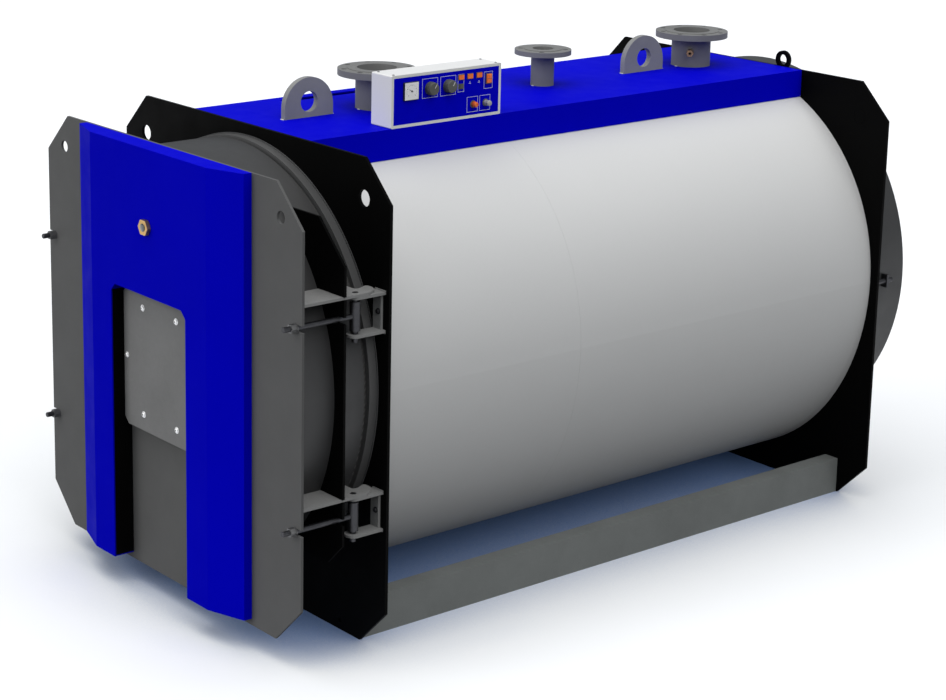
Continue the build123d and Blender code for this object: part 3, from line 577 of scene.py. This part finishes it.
def panel_print():
    """Thin printed frames round the controls and plain marks beside them."""
    mesh = bmesh.new()
    line, sunk, proud = 1.1 * MM, -0.05 * MM, 0.25 * MM
    frames = {
        "front knob": (116, 79, 176, 138),
        "rear knob": (186, 79, 246, 138),
        "switch and lamp": (254, 84, 278, 138),
        "rocker": (357, 84, 391, 136),
        "reset button": (291, 18, 334, 65),
        "test button": (341, 18, 383, 65),
    }
    at = panel_at(0, 0)
    for x0, y0, x1, y1 in frames.values():
        outline_frame(mesh, at, x0 * MM, y0 * MM, x1 * MM, y1 * MM, line, sunk, proud)
    for along in lamp_columns[1:]:
        centre = Vector((along, mark_row)) * MM
        outer = [centre + Vector(corner) for corner in polygon(5 * MM, 3, pi / 2)]
        inner = [centre + Vector(corner) for corner in polygon(3 * MM, 3, pi / 2)]
        for k in range(3):
            after = (k + 1) % 3
            prism(mesh, at, [outer[k], outer[after], inner[after], inner[k]], sunk, proud)
    piece("panel_print", mesh, print_white, "boiler")


def gauge_face():
    """White dial set in the dark housing, with its scale, needle and hub."""
    at = panel_at(*gauge_place, high("pressure_gauge")[X] - panel_x)
    white, marks = bmesh.new(), bmesh.new()
    half = 25.5 * MM
    bar(white, at, -half, -half, half, half, -0.4 * MM, 0.5 * MM)
    first_angle, sweep, steps, mark_end = 225, 270, 16, 20 * MM
    for step in range(steps + 1):
        angle = radians(first_angle - step * sweep / steps)
        major = step % 4 == 0
        mark_start = 15.5 * MM if major else 17.5 * MM
        mark_half = 0.5 * MM if major else 0.3 * MM
        stroke(marks, at, angle, mark_start, mark_end, mark_half, 0.45 * MM, 0.75 * MM)
    needle_angle = radians(150)
    along = Vector((cos(needle_angle), sin(needle_angle)))
    side = Vector((-along.y, along.x)) * MM
    tip, tail = along * 16 * MM, -along * 5 * MM
    prism(marks, at, [tail - side, tip, tail + side], 1.2 * MM, 1.7 * MM)
    hub_radius, hub_top = 2.4 * MM, 2.8 * MM
    turned(marks, at, [
        (0, 0.5 * MM), (hub_radius, 0.5 * MM), (hub_radius, 2.2 * MM), (1.6 * MM, hub_top), (0, hub_top),
    ], 20)
    piece("gauge_dial", white, dial_white, "boiler")
    piece("gauge_marks", marks, ink, "boiler")


def knob_details():
    """Fluted skirt and white pointer on each thermostat knob."""
    flutes, skirt_radius, skirt_height, pointer_angle = 24, 19.2 * MM, 20 * MM, radians(58)
    for node, body in (("knob_front", "front_thermostat"), ("knob_rear", "rear_thermostat")):
        top = (high(node)[X], middle(node, Y), middle(node, Z))
        at = Matrix.Translation(Vector(top)) @ panel_turn
        ribs, pointer = bmesh.new(), bmesh.new()
        for x, y in polygon(skirt_radius, flutes):
            foot = at @ Matrix.Translation(Vector((x, y, -skirt_height)))
            turned(ribs, foot, [(0, 0), (1.1 * MM, 0), (0.7 * MM, 16 * MM), (0, 16.6 * MM)], 8)
        stroke(pointer, at, pointer_angle, 3 * MM, 16.2 * MM, 0.8 * MM, -0.3 * MM, 0.4 * MM)
        piece(node + "_flutes", ribs, materials["knob_black"], body, True)
        piece(node + "_pointer", pointer, dial_white, body)


def small_controls():
    """Test switch, bezels, the rocker's two halves and the reset caps."""
    dark, orange, bright = bmesh.new(), bmesh.new(), bmesh.new()
    switch = panel_at(*switch_place)
    bar(dark, switch, -10 * MM, -8 * MM, 10 * MM, 8 * MM, 0, 2 * MM)
    lever = [(-7 * MM, -5.5 * MM), (7 * MM, -5.5 * MM), (6 * MM, 5 * MM), (-6 * MM, 5 * MM)]
    prism(dark, switch, lever, 2 * MM, 4.4 * MM)
    for along in lamp_columns:
        lamp = panel_at(along, lamp_row)
        outline_frame(dark, lamp, -11.5 * MM, -8.5 * MM, 11.5 * MM, 8.5 * MM, 1.5 * MM, 0, 2.2 * MM)
    rocker = panel_at(*rocker_place)
    outline_frame(dark, rocker, -11 * MM, -16 * MM, 11 * MM, 16 * MM, 2 * MM, 0, 3.5 * MM)
    bar(dark, rocker, -8.6 * MM, -0.6 * MM, 8.6 * MM, 0.6 * MM, 6.9 * MM, 7.2 * MM)
    turned(orange, panel_at(*reset_place), [
        (0, 12.02 * MM), (7.97 * MM, 12.02 * MM), (9.02 * MM, 0.2 * MM), (9.4 * MM, 0.2 * MM),
        (8.4 * MM, 12.2 * MM), (7.8 * MM, 13.4 * MM), (7.8 * MM, 17 * MM), (6.6 * MM, 18.4 * MM),
        (0, 18.8 * MM),
    ])
    turned(bright, panel_at(*test_place), [
        (0, 12 * MM), (7.2 * MM, 12 * MM), (8.4 * MM, 14 * MM), (8.4 * MM, 21 * MM),
        (7.4 * MM, 22.4 * MM), (0, 22.8 * MM),
    ])
    for button_place in (reset_place, test_place):
        turned(dark, panel_at(*button_place), [
            (9.2 * MM, 0), (11.5 * MM, 0), (11.5 * MM, 2 * MM), (10.4 * MM, 2.8 * MM), (9.2 * MM, 2.8 * MM),
        ], 28)
    piece("panel_bezels", dark, materials["knob_black"], "boiler")
    piece("reset_cap", orange, orange_plastic, "boiler", True)
    piece("test_cap", bright, materials["button_grey"], "boiler", True)


def box_screws():
    """Pan-head screws near the corners of the box's top."""
    mesh = bmesh.new()
    inset, face_inset = 14 * MM, 10 * MM
    for y in (box_low[Y] + inset, box_high[Y] - inset):
        for x in (box_low[X] + inset, box_high[X] - face_inset):
            at = frame_at((x, y, box_high[Z]), (0, 0, 1), (0, 1, 0))
            turned(mesh, at, [(4 * MM, 0), (4 * MM, 0.8 * MM), (2.6 * MM, 2 * MM), (0, 2.3 * MM)], 16)
    piece("box_screws", mesh, materials["zinc_steel"], "boiler", True)


# Sight glass
def sight_pane():
    """Dark pane set in the hexagon."""
    mesh = bmesh.new()
    bore, rim = 8.8 * MM, 12.4 * MM
    at = frame_at((0, low("sight_glass")[Y], middle("sight_glass", Z)), (0, -1, 0))
    turned(mesh, at, [
        (0, -9 * MM), (bore, -9 * MM), (bore, 0.1 * MM), (rim, 0.1 * MM),
        (rim, 1.0 * MM), (11.2 * MM, 1.5 * MM), (0, 1.8 * MM),
    ], 32)
    piece("sight_pane", mesh, dark_glass, "door", True)


# Welds, as rippled beads along the seams
def shell_welds():
    """Beads round collar, smoke box and flue spigot, and along the rear lifting eyes."""
    dark, black = bmesh.new(), bmesh.new()
    front_y, rear_y = plate_front_y - weld_out, plate_rear_y + weld_out
    end_y, spigot_z = high("smoke_box_end")[Y] + weld_out, middle("flue_spigot", Z)
    round_weld(dark, (0, front_y, axis_z), half_wide("front_collar") + weld_out)
    round_weld(dark, (0, rear_y, axis_z), half_wide("smoke_box") + weld_out)
    round_weld(dark, (0, end_y, spigot_z), half_wide("flue_spigot") + weld_out)
    piece("shell_welds", dark, weld_dark, "boiler", True)
    for eye_low, eye_high in solids_of("rear_lifting_eyes"):
        for x in (eye_low[X], eye_high[X]):
            start, end = (x, rear_y, eye_low[Z]), (x, rear_y, high("rear_plate")[Z])
            straight_weld(black, start, end, 1.5 * MM)
    piece("eye_welds", black, weld_black, "boiler", True)


def pipe_welds():
    """Fillets under the flanges."""
    mesh = bmesh.new()
    for node, pipe, flange in connections:
        seam_z = high(node)[Z] - flange - weld_out
        round_weld(mesh, (0, middle(node, Y), seam_z), pipe + weld_out, axis=Z)
    piece("pipe_welds", mesh, pipe_paint, "boiler", True)


def bracket_welds():
    """Beads where the brackets meet the front plate, and a screw in the middle of each web."""
    mesh, screws = bmesh.new(), bmesh.new()
    seam_y = plate_front_y - weld_out
    head_foot, head_top = 1.4 * MM, 6 * MM
    for node in ("hinge_brackets", "latch_brackets"):
        for box_foot, box_top in solids_of(node):
            for z in (box_foot[Z] - weld_out, box_top[Z] + weld_out):
                straight_weld(mesh, (box_foot[X], seam_y, z), (box_top[X], seam_y, z))
            web_x, web_z = (box_foot[X] + box_top[X]) / 2, (box_foot[Z] + box_top[Z]) / 2
            at = frame_at((web_x, plate_front_y - bracket_web, web_z), (0, -1, 0))
            turned(screws, at, [(0, -1 * MM), (9 * MM, -1 * MM), (9 * MM, head_foot), (0, head_foot)])
            prism(screws, at, polygon(6.5 * MM, 6), 1.2 * MM, head_top)
            prism(screws, at, polygon(5.9 * MM, 6), head_top, 6.5 * MM)
    piece("bracket_welds", mesh, weld_grey, "boiler", True)
    piece("bracket_screws", screws, materials["dark_steel"], "boiler")


def door_welds():
    """Beads round the drum and along the arms, on the back of the door plate."""
    drum, arms = bmesh.new(), bmesh.new()
    seam_y = door_back_y + weld_out
    round_weld(drum, (0, seam_y, axis_z), half_wide("door_drum") + weld_out)
    piece("drum_weld", drum, weld_dark, "door", True)
    outer_limit = high("door_plate")[X] - 30 * MM
    for arm_low, arm_high in solids_of("door_arms"):
        for z in (arm_low[Z] - weld_out, arm_high[Z] + weld_out):
            inner, outer = sorted((arm_low[X], arm_high[X]), key=abs)
            side = 1 if outer > 0 else -1
            start = (inner + side * 4 * MM, seam_y, z)
            end = (side * min(abs(outer), outer_limit), seam_y, z)
            straight_weld(arms, start, end)
    piece("arm_welds", arms, weld_grey, "door", True)


def tube_welds():
    """Seal welds where the tubes end in the front tube plate."""
    mesh = bmesh.new()
    behind_end, tube_out, furnace_out = 3.4 * MM, 0.5 * MM, 0.5 * MM
    for tube_low, tube_high in solids_of("fire_tubes"):
        centre_x, centre_z = (tube_low[X] + tube_high[X]) / 2, (tube_low[Z] + tube_high[Z]) / 2
        radius = (tube_high[X] - tube_low[X]) / 2 + tube_out
        round_weld(mesh, (centre_x, tube_low[Y] + behind_end, centre_z), radius, tube_weld, Y, 3 * MM)
    furnace_y = low("front_tube_plate")[Y] - furnace_out
    round_weld(mesh, (0, furnace_y, middle("furnace_tube", Z)), half_wide("furnace_tube") + weld_out)
    piece("tube_welds", mesh, weld_scale, "boiler", True)


# Small parts of the cover and the rear plate, and painted shade in the door's recess
def seal_tabs():
    """Pale ends of the sealing strips in the cover's cut-outs, beside each lug and pipe."""
    mesh = bmesh.new()
    tab_radius, away = 2.6 * MM, 3.2 * MM
    lug_half, pipe_half = 9 * MM, 6 * MM
    ends = [(lug_low[Y], lug_high[Y], lug_half) for lug_low, lug_high in solids_of("lifting_lugs")]
    for node, pipe, _ in connections:
        y = middle(node, Y)
        ends.append((y - pipe, y + pipe, pipe_half))
    profile = [
        (0, -0.5 * MM), (tab_radius, -0.5 * MM), (tab_radius, 1 * MM), (1.9 * MM, 1.8 * MM), (0, 2 * MM),
    ]
    for start, end, half in ends:
        for y, side in ((start, -1), (end, 1)):
            at = frame_at((0, y + side * away, cover_top_z), (0, 0, 1), (0, 1, 0))
            turned(mesh, at @ Matrix.Diagonal((half / tab_radius, 1, 1, 1)), profile, 20)
    piece("seal_tabs", mesh, seal_white, "boiler")


def recess_painted_shade():
    """Black sheets on both side walls of the recess in the door's cover: painted shade on the shadowed
    walls.
    """
    mesh = bmesh.new()
    skin, sunk, bevel = 1.2 * MM, 0.02 * MM, 0.5 * MM
    edge_gap, top_gap = 4 * MM, 8 * MM
    front, back = low("door_cover")[Y] + edge_gap, low("door_plate")[Y]
    foot, top = low("door_cover")[Z] + edge_gap, high("burner_blank")[Z] - top_gap
    for side in (-1, 1):
        inner, outer = side * (recess_half_x - skin), side * (recess_half_x - sunk)
        corners = [(inner, back), (outer, back), (outer, front), (inner + side * bevel, front)]
        prism(mesh, Matrix(), corners, foot, top)
    piece("recess_painted_shade", mesh, materials["black_paint"], "door")


def rear_plate_plugs():
    """Flush plugs in the rear plate's two upper holes, which show as plain black plate."""
    mesh = bmesh.new()
    face_y = low("rear_plate")[Y]
    radius, thick, chamfer = 24.8 * MM, plate_rear_y - face_y, 0.6 * MM
    for x in (-rear_hole_x, rear_hole_x):
        at = frame_at((x, face_y, rear_hole_z), (0, 1, 0))
        turned(mesh, at, [
            (0, 0), (radius - chamfer, 0), (radius, chamfer), (radius, thick - chamfer),
            (radius - chamfer, thick), (0, thick),
        ], 40)
    piece("rear_plate_plugs", mesh, materials["black_paint"], "boiler")


burner_screws()
panel_print()
gauge_face()
knob_details()
small_controls()
box_screws()
sight_pane()
shell_welds()
pipe_welds()
bracket_welds()
door_welds()
tube_welds()
seal_tabs()
recess_painted_shade()
rear_plate_plugs()

# The camera stands where the photograph was taken from
camera_place = (5.4759, -4.8163, 2.7772)
camera_azimuth, camera_elevation, camera_roll = radians(52.1588), radians(13.3689), radians(0.6051)
camera_lens, camera_shift = 87.3359, (0.12, -0.15)
camera = bpy.data.objects.new("camera", bpy.data.cameras.new("camera"))
bpy.context.scene.collection.objects.link(camera)
back = Vector((
    sin(camera_azimuth) * cos(camera_elevation),
    -cos(camera_azimuth) * cos(camera_elevation),
    sin(camera_elevation),
))
level_right = Vector((cos(camera_azimuth), sin(camera_azimuth), 0))
level_up = back.cross(level_right)
right = level_right * cos(camera_roll) + level_up * sin(camera_roll)
up = level_up * cos(camera_roll) - level_right * sin(camera_roll)
camera_turn = Matrix((right, up, back)).transposed().to_4x4()
camera.matrix_world = Matrix.Translation(Vector(camera_place)) @ camera_turn
camera.data.lens = camera_lens
camera.data.shift_x, camera.data.shift_y = camera_shift
camera.data.clip_end = 200
bpy.context.scene.camera = camera


# Studio: a pale floor, three wide lights and a pale sky
def floor():
    """Pale floor with a painted blue shade where nearby things occlude it."""
    mesh = bmesh.new()
    half = 30  # metres
    corners = ((-half, -half), (half, -half), (half, half), (-half, half))
    mesh.faces.new([mesh.verts.new((x, y, 0)) for x, y in corners])
    data = bpy.data.meshes.new("floor")
    mesh.to_mesh(data)
    mesh.free()
    m = Shader("floor_white")
    pale = m.ramp(m.noise(1.3, 4, 0.5), [(0.3, (0.86, 0.87, 0.89)), (0.7, (0.88, 0.89, 0.91))])
    # Ambient occlusion mixes a painted blue shade into the floor near and under things
    painted_shade_mask = m.add("ShaderNodeAmbientOcclusion", samples=8)
    painted_shade_mask.inputs["Distance"].default_value = 0.6
    painted_shade_blue = (0.14, 0.27, 0.60)
    m.colour(m.mix(m.remap(painted_shade_mask.outputs["AO"], 0.08, 0.6, 0.0, 1.0), painted_shade_blue, pale))
    m.set(Roughness=0.9)
    data.materials.append(m.material)
    thing = bpy.data.objects.new("floor", data)
    thing.visible_diffuse = False
    bpy.context.scene.collection.objects.link(thing)


def sky_light(name, toward, strength, spread, colour):
    """Very wide, even light from one direction."""
    lamp = bpy.data.lights.new(name, "SUN")
    lamp.energy = strength
    lamp.angle = radians(spread)
    lamp.color = colour
    thing = bpy.data.objects.new(name, lamp)
    thing.rotation_mode = "QUATERNION"
    thing.rotation_quaternion = Vector(toward).to_track_quat("Z", "Y")
    bpy.context.scene.collection.objects.link(thing)


def studio_sky():
    """Pale light from all round, brighter above the horizon than below it."""
    world = bpy.data.worlds.new("studio")
    world.use_nodes = True
    tree = world.node_tree
    place = tree.nodes.new("ShaderNodeTexCoord")
    parts = tree.nodes.new("ShaderNodeSeparateXYZ")
    tree.links.new(place.outputs["Generated"], parts.inputs["Vector"])
    fade = tree.nodes.new("ShaderNodeMapRange")
    for key, value in (("From Min", -0.15), ("From Max", 0.35), ("To Min", 0.04), ("To Max", 0.42)):
        fade.inputs[key].default_value = value
    tree.links.new(parts.outputs["Z"], fade.inputs["Value"])
    background = tree.nodes["Background"]
    background.inputs["Color"].default_value = (0.86, 0.93, 1.0, 1)
    tree.links.new(fade.outputs["Result"], background.inputs["Strength"])
    bpy.context.scene.world = world


floor()
sky_light("top_light", (-0.05, -0.05, 1.0), 1.7, 60, (1.0, 0.985, 0.96))
sky_light("front_light", (-0.30, -1.0, 0.40), 1.45, 50, (1.0, 0.99, 0.97))
sky_light("side_light", (1.0, -0.10, 0.80), 1.25, 50, (1.0, 0.99, 0.97))
studio_sky()
bpy.context.scene.view_settings.view_transform = "Standard"
